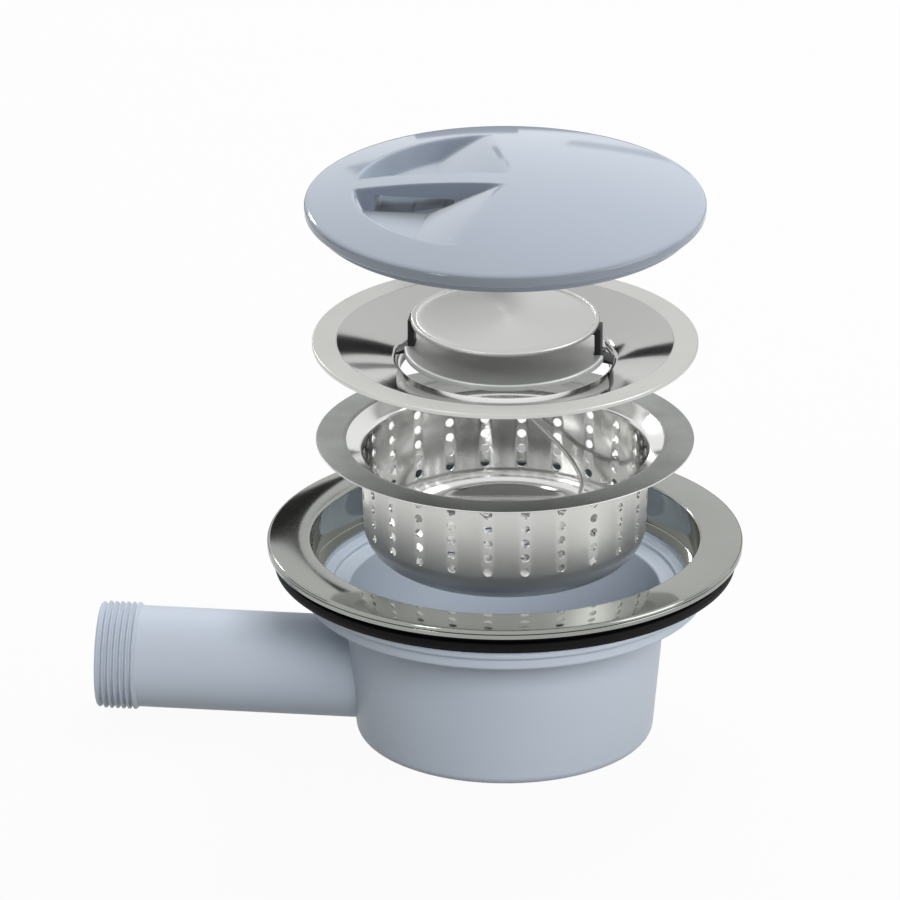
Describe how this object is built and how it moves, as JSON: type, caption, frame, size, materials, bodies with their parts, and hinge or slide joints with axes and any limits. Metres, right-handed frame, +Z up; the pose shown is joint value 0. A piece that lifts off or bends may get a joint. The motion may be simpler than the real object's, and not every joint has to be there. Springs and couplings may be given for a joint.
{
  "type": "basket strainer waste",
  "caption": "Sink waste with a plastic cup and threaded side outlet, steel flange, lift-out perforated basket with a wire bail, funnel dish with a capped throat, and a lid with finger pockets.",
  "frame": {"origin": "centre of the cup's underside", "axes": "+Z up along the cup's axis, the side outlet points along -X"},
  "size_m": [0.2515, 0.185, 0.2312],
  "materials": {
    "polished_steel": "mirror polished",
    "satin_steel": "satin",
    "steel_wire": "drawn wire",
    "body_plastic": "satin moulded",
    "lid_plastic": "glossy moulded",
    "black_rubber": "matte rubber",
    "carrier_plastic": "black moulded"
  },
  "bodies": {
    "waste_body": {"top_flange": "polished_steel", "upper_seal": "black_rubber", "lower_gasket": "black_rubber", "body_cup": "body_plastic", "outlet_pipe": "body_plastic"},
    "basket": {"basket": "satin_steel"},
    "bail": {"bail_handle": "steel_wire"},
    "dish": {"funnel_dish": "polished_steel", "cap_disc": "satin_steel", "lower_plate": "satin_steel", "cap_carrier": "carrier_plastic"},
    "lid": {"lid": "lid_plastic"}
  },
  "joints": [
    {"name": "basket_lift", "type": "slide", "parent": "waste_body", "child": "basket", "axis": [0, 0, 1], "range_m": [-0.0571, 0]},
    {"name": "bail_swing", "type": "hinge", "parent": "basket", "child": "bail", "pos_m": [0, 0, 0.1134], "axis": [0, -1, 0], "range_deg": [0, 260]},
    {"name": "dish_lift", "type": "slide", "parent": "basket", "child": "dish", "axis": [0, 0, 1], "range_m": [-0.0389, 0]},
    {"name": "lid_lift", "type": "slide", "parent": "dish", "child": "lid", "axis": [0, 0, 1], "range_m": [-0.04, 0]}
  ]
}
